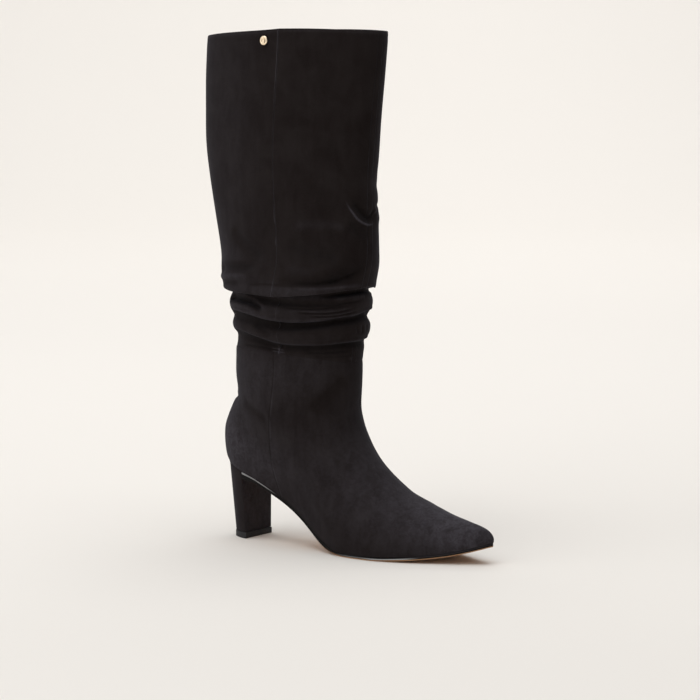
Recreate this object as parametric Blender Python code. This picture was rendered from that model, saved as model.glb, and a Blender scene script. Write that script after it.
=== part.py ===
"""A right slouch boot: knee-high suede leg with folds above the ankle, pointed toe and a slim block heel.

Run it with: blender --background --python part.py

Frame, in metres: +X to the toe, +Y to the inner (medial) side of this right boot, +Z up, floor at 0. Places
along the boot are counted from the back of the heel seat, on the centre line of the heel, and the finished
pieces are moved so that the origin is the centre of the whole boot's box on the floor.
"""

import math

import bmesh
import bpy
import numpy as np
from mathutils import Matrix, Vector

MM = 0.001

# Foot, as lasted
BOOT_LENGTH = 256 * MM  # back of the seat to the tip of the sole, measured level
BALL_WIDTH = 80 * MM  # outsole across the ball
SEAT_WIDTH = 43 * MM  # heel seat at the breast
SEAT_HEIGHT = 64 * MM  # floor to the top of the heel at the back
TOE_SPRING = 15.5 * MM  # lift of the sole at its tip
TOE_ROUND = 8 * MM  # round end of the point, seen from above
SEAT_ROUND = 27 * MM  # round back of the seat, seen from above
INSTEP_BIAS = 4 * MM  # the ridge of the vamp lies this far to the inner side

# Ankle, leg and collar
ANKLE_SEAM_HEIGHT = 160 * MM
ANKLE_SEAM_DIP = 8 * MM  # the seam at the shin lies this much lower than at the back
ANKLE_CENTRE = 68.5 * MM  # middle of the ankle ring, from the back of the seat
ANKLE_DEPTH = 118 * MM  # ankle ring from shin to back
ANKLE_WIDTH = 74 * MM
SLOUCH_HEIGHT = 50 * MM  # ankle seam to the hanging edge of the leg
FOLD_DEPTH = 8 * MM  # how far a full fold stands out
COLLAR_HEIGHT = 421.5 * MM  # floor to the collar at shin and back
COLLAR_PEAK = 4.5 * MM  # extra height of the collar at its side seams
COLLAR_DEPTH = 177 * MM
COLLAR_WIDTH = 70 * MM
LEG_FULLNESS = 6 * MM  # extra width of the leg half way up
WALL = 1.8 * MM  # suede and lining together
SEAM_STEP = 0.5 * MM  # the leg's front panel laps over its back panel at the side seams
SEAM_TURN = 0.235  # place of the outer side seam, as a share of the way round from the shin

# Bottom pieces
SOLE_THICKNESS = 3.0 * MM
BREAST_THICKENING = 3.0 * MM  # the sole is this much thicker where it meets the heel
INSOLE_THICKNESS = 2.4 * MM
BREAST = 24 * MM  # front face of the heel at its top, from the back of the seat
HEEL_TIP_BACK = 6 * MM  # back of the heel at the floor, from the back of the seat
HEEL_TIP_DEPTH = 20 * MM
HEEL_TIP_WIDTH = 36 * MM
TOP_PIECE_THICKNESS = 5 * MM
TOP_PIECE_PROUD = 0.5 * MM  # the top piece stands out past the heel's cover

# Rivet at the collar
RIVET_DIAMETER = 8.5 * MM
RIVET_THICKNESS = 1.4 * MM
RIVET_BEVEL = 0.45 * MM
RIVET_BELOW_COLLAR = 10 * MM
RIVET_BEHIND_SEAM = 15 * MM

GAP = 0.3 * MM  # clearance between pieces that meet
LAP = 0.7 * MM  # extra room between the insole's edge and the upper's wall
END_TRIM = 0.2 * MM  # sole and sock stop this far short of the outline's ends, where it has no width
LEAST_RISE = 1 * MM  # least height of a section of the foot, at the very tip

# Mesh density
AROUND = 40
UPPER_RINGS = 24
SOLE_STATIONS = 52
RIVET_SIDES = 24
NOSE_POINTS = 2  # rows of the front line before the ridge of the vamp
SHIN_POINTS = 5  # and rows after it

# Outline of the lasted bottom and of the foot above it. along is a share of the boot's length. outer and
# inner are half widths at the sole, outer_body and inner_body those of the upper above it, all as shares of
# half the ball width. full is the exponent that squares up the section there.
OUTLINE = [
    # along, outer, inner, outer_body, inner_body, full
    (0.00, 0.50, 0.50, 0.62, 0.62, 2.6),
    (0.09, 0.53, 0.53, 0.66, 0.66, 2.6),
    (0.18, 0.56, 0.54, 0.73, 0.70, 2.4),
    (0.27, 0.59, 0.49, 0.77, 0.74, 2.2),
    (0.35, 0.66, 0.49, 0.82, 0.77, 2.0),
    (0.43, 0.79, 0.57, 0.91, 0.83, 1.9),
    (0.51, 0.93, 0.72, 1.00, 0.91, 1.8),
    (0.58, 1.01, 0.87, 1.05, 0.98, 1.8),
    (0.64, 1.01, 0.96, 1.05, 1.02, 1.9),
    (0.70, 0.94, 0.96, 0.98, 1.01, 2.0),
    (0.78, 0.76, 0.84, 0.80, 0.88, 2.1),
    (0.86, 0.50, 0.63, 0.55, 0.68, 2.2),
    (0.93, 0.26, 0.41, 0.30, 0.45, 2.3),
    (0.97, 0.09, 0.30, 0.12, 0.32, 2.3),
    (1.00, -0.02, 0.24, -0.01, 0.25, 2.3),
]

# Height of the lasted bottom: seat is a share of the seat height, spring a share of the toe spring.
BOTTOM_LINE = [
    # along, seat, spring
    (0.000, 1.000, 0.00),
    (0.031, 0.975, 0.00),
    (0.062, 0.938, 0.00),
    (0.094, 0.890, 0.00),
    (0.141, 0.822, 0.00),
    (0.172, 0.768, 0.00),
    (0.215, 0.690, 0.00),
    (0.262, 0.600, 0.00),
    (0.313, 0.487, 0.00),
    (0.359, 0.365, 0.00),
    (0.398, 0.248, 0.00),
    (0.430, 0.152, 0.00),
    (0.461, 0.073, 0.00),
    (0.500, 0.022, 0.00),
    (0.545, 0.000, 0.00),
    (0.655, 0.000, 0.00),
    (0.742, 0.000, 0.08),
    (0.807, 0.000, 0.19),
    (0.875, 0.000, 0.37),
    (0.941, 0.000, 0.66),
    (1.000, 0.000, 1.00),
]

# Shin and vamp seen from the side. forward runs from 0 at the ankle's shin to 1 at the sole's tip, and height
# from 0 at the toe's bottom edge to 1 at the ankle seam.
FRONT_LINE = [
    # forward, height
    (1.000, 0.000),
    (1.006, 0.020),
    (0.996, 0.045),
    (0.962, 0.070),
    (0.906, 0.089),
    (0.812, 0.107),
    (0.680, 0.132),
    (0.517, 0.183),
    (0.358, 0.243),
    (0.261, 0.308),
    (0.182, 0.374),
    (0.086, 0.474),
    (0.030, 0.576),
    (-0.002, 0.660),
    (-0.006, 0.757),
    (0.000, 0.853),
    (0.001, 0.930),
    (0.000, 1.000),
]

# Back of the counter and ankle seen from the side. forward runs from 0 at the back of the seat to 1 at the
# ankle's back, and height from 0 at the seat to 1 at the ankle seam.
BACK_LINE = [
    # forward, height
    (0.00, 0.000),
    (-0.28, 0.050),
    (-0.44, 0.125),
    (-0.50, 0.210),
    (-0.42, 0.310),
    (0.00, 0.418),
    (0.58, 0.528),
    (0.98, 0.600),
    (1.10, 0.640),
    (1.04, 0.700),
    (0.96, 0.770),
    (0.94, 0.880),
    (1.00, 1.000),
]

# Folds of the slouch, from the ankle seam up. rise is a share of the slouch height, reach a share from 0 at
# the ankle ring to 1 at the collar ring, fold a share of the fold depth, lean a forward shift as a share of
# the ankle's depth, and drape how far the row follows the sag of the hanging edge.
SLOUCH = [
    # rise, reach, fold, lean, drape
    (0.00, 0.00, 0.00, 0.000, 0.0),
    (0.08, 0.00, 0.01, 0.006, 0.1),
    (0.16, 0.01, 0.02, 0.012, 0.3),
    (0.25, 0.02, 0.06, 0.016, 0.4),
    (0.31, 0.03, 0.26, 0.018, 0.5),
    (0.37, 0.04, 0.44, 0.016, 0.6),
    (0.46, 0.05, 0.48, 0.014, 0.7),
    (0.54, 0.06, 0.30, 0.012, 0.8),
    (0.60, 0.07, 0.24, 0.010, 0.9),
    (0.67, 0.08, 0.46, 0.010, 1.0),
    (0.76, 0.10, 0.60, 0.010, 1.0),
    (0.86, 0.12, 0.52, 0.012, 1.0),
    (0.95, 0.14, 0.22, 0.012, 1.0),
    (1.02, 0.16, 0.02, 0.010, 1.0),
    (1.07, 0.18, 0.04, 0.006, 1.0),
    (1.07, 0.19, 0.34, 0.000, 1.0),
    (1.03, 0.20, 0.68, -0.004, 1.0),
    (1.07, 0.21, 0.82, -0.006, 1.0),
    (1.17, 0.25, 0.78, -0.006, 0.9),
]

# Plain leg above the slouch: rise is a share from 0 at the hanging edge to 1 at the collar.
LEG = [
    # rise, reach, fold, lean, drape
    (0.090, 0.37, 0.58, -0.002, 0.6),
    (0.130, 0.47, 0.32, 0.001, 0.4),
    (0.180, 0.56, 0.12, -0.006, 0.2),
    (0.240, 0.63, 0.03, -0.018, 0.1),
    (0.358, 0.72, 0.00, -0.042, 0.0),
    (0.476, 0.81, 0.00, -0.060, 0.0),
    (0.590, 0.89, 0.00, -0.068, 0.0),
    (0.707, 0.93, 0.00, -0.061, 0.0),
    (0.825, 0.98, 0.00, -0.050, 0.0),
    (0.920, 1.00, 0.00, -0.038, 0.0),
    (1.000, 1.00, 0.00, -0.028, 0.0),
]

# Sag of the hanging edge round the leg: turn is a share of the way round from the shin by the outer side,
# and sag a share of the slouch height.
SAG = [
    # turn, sag
    (0.00, 0.12),
    (0.08, 0.07),
    (0.16, 0.00),
    (0.25, -0.05),
    (0.34, -0.03),
    (0.42, 0.00),
    (0.50, 0.02),
    (0.62, -0.01),
    (0.75, -0.05),
    (0.86, 0.00),
    (0.94, 0.08),
    (1.00, 0.12),
]


def column(table, index):
    """One column of a table, as an array."""
    return np.array([row[index] for row in table], float)


def tangent_curve(xs, ys, tangents, x):
    """A cubic through the points (xs, ys) with the given slopes, read at x."""
    i = int(np.clip(np.searchsorted(xs, x) - 1, 0, len(xs) - 2))
    step = xs[i + 1] - xs[i]
    t = float(np.clip((x - xs[i]) / step, 0, 1))
    return (
        (2 * t**3 - 3 * t**2 + 1) * ys[i]
        + (t**3 - 2 * t**2 + t) * step * tangents[i]
        + (3 * t**2 - 2 * t**3) * ys[i + 1]
        + (t**3 - t**2) * step * tangents[i + 1]
    )


def smooth(xs, ys, x):
    """A smooth curve through the points (xs, ys) that never swings past them, read at x."""
    xs, ys = np.asarray(xs, float), np.asarray(ys, float)
    slope = np.diff(ys) / np.diff(xs)
    before, after = slope[:-1], slope[1:]
    same_way = before * after > 0
    middle = np.where(same_way, 2 * before * after / np.where(same_way, before + after, 1), 0)
    tangents = np.concatenate([slope[:1], middle, slope[-1:]])
    return float(tangent_curve(xs, ys, tangents, x))


def rounded(points, share):
    """A point on the smooth line through 2-D points, at a share of its length."""
    points = np.asarray(points, float)
    along = np.concatenate([[0], np.cumsum(np.linalg.norm(np.diff(points, axis=0), axis=1))])
    return tangent_curve(along, points, np.gradient(points, along, axis=0), share * along[-1])


def end_cap(distance, radius):
    """1 inside an outline, falling on a quarter circle to 0 at its end."""
    inward = min(max(distance / radius, 0), 1)
    return math.sqrt(max(1 - (1 - inward) ** 2, 0))


def outline_value(x, name):
    """A column of the outline table at x, as a length."""
    index = {"outer": 1, "inner": 2, "outer_body": 3, "inner_body": 4}[name]
    return smooth(column(OUTLINE, 0), column(OUTLINE, index), x / BOOT_LENGTH) * BALL_WIDTH / 2


def seat_fit(x):
    """Factor that brings the outline to the seat's own width near the heel."""
    seat_share = smooth([0, BREAST, 3 * BREAST], [1, 1, 0], x)
    at_breast = (outline_value(BREAST, "outer") + outline_value(BREAST, "inner")) / SEAT_WIDTH
    return 1 + seat_share * (1 / at_breast - 1)


def outline_edges(x, body=False):
    """The two edges of the outline at x as y values, outer first; of the upper above it where body is set."""
    x = min(max(x, 0), BOOT_LENGTH)
    tail = "_body" if body else ""
    outer = outline_value(x, "outer" + tail) * seat_fit(x)
    inner = outline_value(x, "inner" + tail) * seat_fit(x)
    centre = (inner - outer) / 2
    half = (inner + outer) / 2 * end_cap(x, SEAT_ROUND) * end_cap(BOOT_LENGTH - x, TOE_ROUND)
    return centre - half, centre + half


def bottom_height(x):
    """Height of the top of the outsole and heel at x: what the upper and the insole stand on."""
    share = min(max(x / BOOT_LENGTH, 0), 1)
    along = column(BOTTOM_LINE, 0)
    seat = smooth(along, column(BOTTOM_LINE, 1), share)
    spring = smooth(along, column(BOTTOM_LINE, 2), share)
    return SOLE_THICKNESS + seat * (SEAT_HEIGHT - SOLE_THICKNESS) + spring * TOE_SPRING


def underside_height(x):
    """Height of the outsole's underside at x."""
    past_breast = smooth([BREAST, 1.25 * BREAST, 1.7 * BREAST], [1, 0.65, 0], max(x, BREAST))
    return bottom_height(x) - SOLE_THICKNESS - BREAST_THICKENING * past_breast


def turn_share(turn):
    """How far forward a place round a ring lies: 0 at the back, 1 at the front."""
    return (1 + math.cos(2 * math.pi * turn)) / 2


def ankle_edge(turn):
    """Height of the seam between foot and leg, round the ankle."""
    back_rise = 0.35
    return ANKLE_SEAM_HEIGHT + ANKLE_SEAM_DIP * (back_rise - turn_share(turn) ** 3)


def front_points():
    """Points of the vamp and shin line, as x and height."""
    shin = ANKLE_CENTRE + ANKLE_DEPTH / 2
    toe = bottom_height(BOOT_LENGTH) + GAP
    top = ankle_edge(0)
    return [(shin + f * (BOOT_LENGTH - shin), toe + h * (top - toe)) for f, h in FRONT_LINE]


def back_points():
    """Points of the back line of counter and ankle, as x and height."""
    back = ANKLE_CENTRE - ANKLE_DEPTH / 2
    seat = bottom_height(0) + GAP
    return [(f * back, seat + h * (ankle_edge(0.5) - seat)) for f, h in BACK_LINE]


def ridge_height(x):
    """Height of the vamp's ridge over x. Behind the shin it climbs on, out of the section's reach."""
    line = front_points()[NOSE_POINTS:-SHIN_POINTS]
    xs, zs = zip(*reversed(line))
    shin_slope = 3.0
    if x < xs[0]:
        return zs[0] + (xs[0] - x) * shin_slope
    return smooth(xs, zs, min(x, xs[-1]))


def foot_edge(x, z, outer, fullness):
    """y of the foot's wall at x and height z, on one side. fullness is the least share of the width left."""
    floor = bottom_height(x) + GAP
    share = min(max((z - floor) / max(ridge_height(x) - floor, LEAST_RISE), 0), 1)
    low, high = outline_edges(x), outline_edges(x, body=True)
    swell = smooth([0, 0.12, 0.32, 1], [0, 0.55, 1, 1], share)
    side = 0 if outer else 1
    edge = low[side] + (high[side] - low[side]) * swell
    bias_share = smooth([0, 0.35, 0.60, 0.85, 1], [0, 0.4, 1, 0.3, 0], x / BOOT_LENGTH)
    ridge = (low[0] + low[1]) / 2 + INSTEP_BIAS * bias_share
    full = smooth(column(OUTLINE, 0), column(OUTLINE, 5), x / BOOT_LENGTH)
    slant = -0.15 if outer else 0.3
    section = (1 - share ** (full + slant)) ** (1 / 1.9)
    return ridge + (edge - ridge) * (section**4 + fullness**4) ** 0.25


def upper_point(turn, climb):
    """A point of the foot's outer surface: turn as in turn_share, climb 0 at the sole to 1 at the ankle."""
    front = rounded(front_points(), climb)
    back = rounded(back_points(), climb)
    s = turn_share(turn)
    x = back[0] + s * (front[0] - back[0])
    chord = back[1] + s * (front[1] - back[1])
    sole_chord = bottom_height(0) + s * (bottom_height(BOOT_LENGTH) - bottom_height(0))
    sag = (bottom_height(s * BOOT_LENGTH) - sole_chord) * (1 - climb) ** 2
    top_chord = ankle_edge(0.5) + s * (ankle_edge(0) - ankle_edge(0.5))
    crown = (ankle_edge(turn) - top_chord) * climb**2
    z = chord + sag + crown

    outer = turn <= 0.5
    toe_wall = smooth([0, 0.012, 0.04, 1], [1, 1, 0, 0], climb)
    along = x - back[0] * (1 - s)
    along += toe_wall * s * (BOOT_LENGTH - front[0])
    foot = foot_edge(along, z, outer, 0.5 * math.sqrt(max(1 - s, 0)))
    half_turn = math.sqrt(max(1 - (2 * s - 1) ** 2, 0))
    ankle = ANKLE_WIDTH / 2 * half_turn * (-1 if outer else 1)
    blend = smooth([0, 0.3, 0.85, 1.0], [0, 0, 1, 1], climb)
    return Vector((x, (1 - blend) * foot + blend * ankle, z))


def leg_rows():
    """Rows of the leg from the ankle seam to the collar: height, reach, fold, lean and drape."""
    edge = ANKLE_SEAM_HEIGHT + SLOUCH_HEIGHT
    rows = [(ANKLE_SEAM_HEIGHT + GAP + r * (SLOUCH_HEIGHT - GAP), *rest) for r, *rest in SLOUCH]
    return rows + [(edge + r * (COLLAR_HEIGHT - edge), *rest) for r, *rest in LEG]


def leg_point(turn, height, reach, fold, lean, drape):
    """A point of the leg's outer surface on one row."""
    centre = ANKLE_CENTRE + lean * ANKLE_DEPTH
    depth = ANKLE_DEPTH + reach * (COLLAR_DEPTH - ANKLE_DEPTH)
    width = ANKLE_WIDTH + reach * (COLLAR_WIDTH - ANKLE_WIDTH) + 4 * reach * (1 - reach) * LEG_FULLNESS
    swell = fold * FOLD_DEPTH
    lap = SEAM_STEP if SEAM_TURN < turn < 1 - SEAM_TURN else 0
    angle = 2 * math.pi * turn
    x = centre + math.cos(angle) * (depth / 2 + swell - lap)
    y = -math.sin(angle) * (width / 2 + swell - lap)
    sag = smooth(column(SAG, 0), column(SAG, 1), turn) * SLOUCH_HEIGHT
    seam = ankle_edge(turn) - ANKLE_SEAM_HEIGHT
    top = (height - ANKLE_SEAM_HEIGHT) / (COLLAR_HEIGHT - ANKLE_SEAM_HEIGHT)
    peak = COLLAR_PEAK * max(top, 0) ** 4 * math.sin(angle) ** 2
    low = max(1 - top / 0.08, 0)
    return Vector((x, y, height + sag * drape + seam * low + peak))


def turns():
    """Places round a ring, with a close pair at each side seam for the step between the panels."""
    pair = 0.002
    seams = [SEAM_TURN, 1 - SEAM_TURN]
    even = [i / AROUND for i in range(AROUND)]
    clear = [t for t in even if min(abs(t - s) for s in seams) > 0.4 / AROUND]
    return sorted(clear + [s - pair for s in seams] + [s + pair for s in seams])


def loft(bm, rings):
    """Joins closed rings of as many vertices each with quads."""
    made = [[bm.verts.new(p) for p in ring] for ring in rings]
    for low, high in zip(made, made[1:]):
        for i in range(len(low)):
            j = (i + 1) % len(low)
            bm.faces.new((low[i], low[j], high[j], high[i]))
    return made


def cap_across(bm, ring):
    """Closes a ring that is the same on both sides with strips across it."""
    last = len(ring) - 1
    for i in range(len(ring) // 2):
        corners = [ring[i], ring[i + 1], ring[last - i - 1], ring[last - i]]
        distinct = list(dict.fromkeys(corners))
        if len(distinct) > 2:
            bm.faces.new(distinct)


def new_object(name, bm, material, sharp=math.radians(40)):
    """Links a bmesh as a named object with its faces pointing out, its material and sharp edges."""
    bmesh.ops.recalc_face_normals(bm, faces=bm.faces)
    mesh = bpy.data.meshes.new(name)
    bm.to_mesh(mesh)
    bm.free()
    mesh.shade_smooth()
    mesh.set_sharp_from_angle(angle=sharp)
    mesh.materials.append(material)
    obj = bpy.data.objects.new(name, mesh)
    bpy.context.scene.collection.objects.link(obj)
    return obj


def material(name, colour, roughness, metallic=0.0):
    """A Principled material."""
    made = bpy.data.materials.new(name)
    made.use_nodes = True
    shader = made.node_tree.nodes["Principled BSDF"]
    shader.inputs["Base Color"].default_value = (*colour, 1)
    shader.inputs["Roughness"].default_value = roughness
    shader.inputs["Metallic"].default_value = metallic
    return made


def wall_object(name, rings, finish):
    """An open tube through the rings, given its wall thickness inwards."""
    bm = bmesh.new()
    loft(bm, rings)
    obj = new_object(name, bm, finish)
    wall = obj.modifiers.new("wall", "SOLIDIFY")
    wall.thickness = WALL
    wall.offset = -1
    wall.use_rim = True
    return obj


def make_upper(suede):
    """Vamp and counter in one wall, open underneath and at the ankle."""
    crowding = 1.55
    climbs = [(i / (UPPER_RINGS - 1)) ** crowding for i in range(UPPER_RINGS)]
    wall_object("upper", [[upper_point(t, c) for t in turns()] for c in climbs], suede)


def make_shaft(suede):
    """The leg, from the ankle seam over the folds to the collar."""
    wall_object("shaft", [[leg_point(t, *row) for t in turns()] for row in leg_rows()], suede)


def inset_point(x, outer, inset):
    """The outline's point at x, moved inwards by inset square to the outline."""
    side = 0 if outer else 1
    here = Vector((x, outline_edges(x)[side]))
    back, on = max(x - END_TRIM, 0), min(x + END_TRIM, BOOT_LENGTH)
    along = Vector((on - back, outline_edges(on)[side] - outline_edges(back)[side])).normalized()
    inward = Vector((-along.y, along.x)) if outer else Vector((along.y, -along.x))
    return here + inset * inward


def slab_rows(start, end, inset, top, bottom):
    """Rows of four corners across the boot: outer and inner, bottom and top."""
    rows = []
    for i in range(SOLE_STATIONS + 1):
        x = start + (end - start) * (1 - math.cos(math.pi * i / SOLE_STATIONS)) / 2
        outer, inner = inset_point(x, True, inset), inset_point(x, False, inset)
        row = [(outer, bottom), (inner, bottom), (inner, top), (outer, top)]
        rows.append([(p.x, p.y, height(p.x)) for p, height in row])
    return rows


def slab_object(name, rows, finish):
    """A closed slab through rows of corners."""
    bm = bmesh.new()
    made = loft(bm, rows)
    bm.faces.new(made[0])
    bm.faces.new(made[-1])
    return new_object(name, bm, finish)


def make_outsole(leather):
    """The outsole, from the heel's breast to the toe."""
    tip = BOOT_LENGTH - END_TRIM
    slab_object("outsole", slab_rows(BREAST + GAP, tip, 0, bottom_height, underside_height), leather)


def make_insole(leather):
    """The sock inside the upper, on the outsole and the heel."""
    inset = WALL + GAP + LAP
    floor = lambda x: bottom_height(x) + GAP
    top = lambda x: floor(x) + INSOLE_THICKNESS
    slab_object("insole", slab_rows(END_TRIM, BOOT_LENGTH - 2 * END_TRIM, inset, top, floor), leather)


def heel_ring(level, proud=0.0):
    """A D-shaped ring of the heel: level 0 at the floor's shape to 1 at the seat's, as x, y and share."""
    half_count = 10
    points = []
    for i in range(-half_count, half_count + 1):
        x = BREAST * (1 - math.cos(math.pi / 2 * i / half_count))
        outer, inner = outline_edges(x)
        y = outer if i < 0 else inner if i > 0 else (outer + inner) / 2
        breast_half = (outline_edges(BREAST)[1] - outline_edges(BREAST)[0]) / 2
        low_x = HEEL_TIP_BACK - proud + x / BREAST * (HEEL_TIP_DEPTH + 2 * proud)
        low_y = y / breast_half * (HEEL_TIP_WIDTH / 2 + proud)
        points.append((low_x + (x - low_x) * level, low_y + (y - low_y) * level, x))
    return points


def make_heel(suede):
    """The covered heel block, from the top piece up to the seat."""
    foot_of_block = TOP_PIECE_THICKNESS + GAP
    rings = []
    for level in (0.0, 0.3, 0.6, 0.85, 1.0):
        ring = heel_ring(level)
        rings.append([(x, y, foot_of_block + (bottom_height(s) - foot_of_block) * level) for x, y, s in ring])
    bm = bmesh.new()
    made = loft(bm, rings)
    cap_across(bm, made[0])
    cap_across(bm, made[-1])
    new_object("heel_block", bm, suede)


def make_top_piece(rubber):
    """The rubber lift that the heel stands on."""
    ring = heel_ring(0.0, proud=TOP_PIECE_PROUD)
    bm = bmesh.new()
    made = loft(bm, [[(x, y, z) for x, y, _ in ring] for z in (0.0, TOP_PIECE_THICKNESS)])
    cap_across(bm, made[0])
    cap_across(bm, made[-1])
    new_object("heel_top_piece", bm, rubber)


def make_rivet(gold):
    """The flat gold rivet just behind the outer side seam, under the collar."""
    depth = COLLAR_DEPTH / 2
    turn = SEAM_TURN + RIVET_BEHIND_SEAM / depth / (2 * math.pi)
    row = leg_rows()[-1]
    height = ankle_edge(0.25) - ANKLE_SEAM_HEIGHT + COLLAR_HEIGHT - RIVET_BELOW_COLLAR
    here = leg_point(turn, height, *row[1:])
    along = leg_point(turn + 0.01, height, *row[1:]) - here
    along.z = 0
    outward = along.normalized().cross(Vector((0, 0, 1)))
    outward = outward if outward.y < 0 else -outward
    bm = bmesh.new()
    bmesh.ops.create_cone(
        bm,
        cap_ends=True,
        segments=RIVET_SIDES,
        radius1=RIVET_DIAMETER / 2,
        radius2=RIVET_DIAMETER / 2,
        depth=RIVET_THICKNESS,
    )
    front = [e for e in bm.edges if min(v.co.z for v in e.verts) > 0]
    bmesh.ops.bevel(
        bm, geom=front, offset=RIVET_BEVEL, segments=2, profile=0.5, affect="EDGES", material=-1
    )
    turned = Vector((0, 0, 1)).rotation_difference(outward).to_matrix().to_4x4()
    place = Matrix.Translation(here + outward * (GAP + RIVET_THICKNESS / 2)) @ turned
    bmesh.ops.transform(bm, matrix=place, verts=bm.verts)
    new_object("rivet", bm, gold)


def clear_scene():
    """Empties the file of its objects."""
    for obj in list(bpy.data.objects):
        bpy.data.objects.remove(obj)


def move_to_origin():
    """Moves every piece so that the origin is the centre of the boot's box, on the floor."""
    corners = [v.co for obj in bpy.data.objects for v in obj.data.vertices]
    low = [min(c[i] for c in corners) for i in range(3)]
    high = [max(c[i] for c in corners) for i in range(3)]
    shift = Vector((-(low[0] + high[0]) / 2, -(low[1] + high[1]) / 2, -low[2]))
    for obj in bpy.data.objects:
        obj.data.transform(Matrix.Translation(shift))


def main():
    """Builds every piece and moves the boot to its origin."""
    clear_scene()
    suede = material("black_suede", (0.012, 0.011, 0.012), 0.95)
    sole_leather = material("sole_leather", (0.30, 0.16, 0.09), 0.55)
    sock_leather = material("sock_leather", (0.52, 0.36, 0.24), 0.6)
    rubber = material("black_rubber", (0.02, 0.02, 0.02), 0.6)
    gold = material("gold", (0.83, 0.62, 0.33), 0.28, metallic=1.0)
    make_upper(suede)
    make_shaft(suede)
    make_outsole(sole_leather)
    make_insole(sock_leather)
    make_heel(suede)
    make_top_piece(rubber)
    make_rivet(gold)
    move_to_origin()


main()
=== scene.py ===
"""Looks of a right slouch boot in black suede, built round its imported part.

Frame, in metres: +X to the toe, +Y to the inner side of this right boot, +Z up, floor at 0.
"""

import logging
import math
from dataclasses import dataclass, field, replace
from enum import Enum
from typing import Optional, Sequence, Union

import bmesh
import bpy
import numpy as np
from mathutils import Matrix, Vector


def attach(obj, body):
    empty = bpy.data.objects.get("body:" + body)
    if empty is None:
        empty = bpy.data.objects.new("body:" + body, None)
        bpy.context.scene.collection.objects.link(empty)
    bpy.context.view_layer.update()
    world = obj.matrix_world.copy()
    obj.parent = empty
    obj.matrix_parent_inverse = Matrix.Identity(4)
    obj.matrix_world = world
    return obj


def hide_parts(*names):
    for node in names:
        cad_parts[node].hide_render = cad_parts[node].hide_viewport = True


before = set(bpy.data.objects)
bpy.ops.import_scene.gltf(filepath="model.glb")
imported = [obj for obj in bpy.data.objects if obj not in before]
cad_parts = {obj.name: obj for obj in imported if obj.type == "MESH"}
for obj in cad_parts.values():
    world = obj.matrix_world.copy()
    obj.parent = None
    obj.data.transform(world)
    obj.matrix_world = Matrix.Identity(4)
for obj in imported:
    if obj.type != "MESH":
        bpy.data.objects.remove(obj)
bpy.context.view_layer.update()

log = logging.getLogger("boot")
logging.basicConfig(level=logging.INFO, format="%(name)s: %(message)s")

MM = 0.001
BODY = "root"
# Layers that the meshes carry for their finishes
WRAP = "wrap"
# Painted shade and highlights, with some wear, that the suede's colour takes
PAINTED_LIGHT_AND_WEAR_LAYER = "nap"
RIM = "rim"


class Slot(Enum):
    """The record's material slots."""

    SUEDE = "suede"
    SOLE = "sole"
    SOCK = "sock"
    TOP_PIECE = "top_piece"
    RIVET = "rivet"


# Shader maths


class Wire:
    """A float socket that takes part in sums and products."""

    def __init__(self, graph: "Graph", socket: bpy.types.NodeSocket) -> None:
        self.graph = graph
        self.socket = socket

    def _math(self, operation: str, *values: "Union[Wire, float]") -> "Wire":
        node = self.graph.node("ShaderNodeMath", {"operation": operation}, dict(enumerate(values)))
        return Wire(self.graph, node.outputs[0])

    def __add__(self, other: "Union[Wire, float]") -> "Wire":
        return self._math("ADD", self, other)

    def __radd__(self, other: float) -> "Wire":
        return self._math("ADD", other, self)

    def __sub__(self, other: "Union[Wire, float]") -> "Wire":
        return self._math("SUBTRACT", self, other)

    def __rsub__(self, other: float) -> "Wire":
        return self._math("SUBTRACT", other, self)

    def __mul__(self, other: "Union[Wire, float]") -> "Wire":
        return self._math("MULTIPLY", self, other)

    def __rmul__(self, other: float) -> "Wire":
        return self._math("MULTIPLY", other, self)

    def __neg__(self) -> "Wire":
        return self._math("MULTIPLY", self, -1.0)

    def absolute(self) -> "Wire":
        """The size without the sign.

        Returns:
            A wire that is never negative.
        """
        return self._math("ABSOLUTE", self)

    def clamped(self) -> "Wire":
        """The value held between 0 and 1.

        Returns:
            The clamped wire.
        """
        node = self.graph.node("ShaderNodeMath", {"operation": "ADD", "use_clamp": True}, {0: self, 1: 0.0})
        return Wire(self.graph, node.outputs[0])

    def ramp(self, low: float, high: float, to_low: float = 0.0, to_high: float = 1.0) -> "Wire":
        """A smooth step.

        Args:
            low: value where the step starts.
            high: value where it ends; may be below low.
            to_low: result at low.
            to_high: result at high.

        Returns:
            The stepped wire.
        """
        node = self.graph.node(
            "ShaderNodeMapRange",
            {"interpolation_type": "SMOOTHSTEP"},
            {"Value": self, "From Min": low, "From Max": high, "To Min": to_low, "To Max": to_high},
        )
        return Wire(self.graph, node.outputs[0])


Value = Union[Wire, bpy.types.NodeSocket, float, Sequence[float]]
Pair = tuple[float, float]
Triple = tuple[float, float, float]
Quad = tuple[float, float, float, float]


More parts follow.
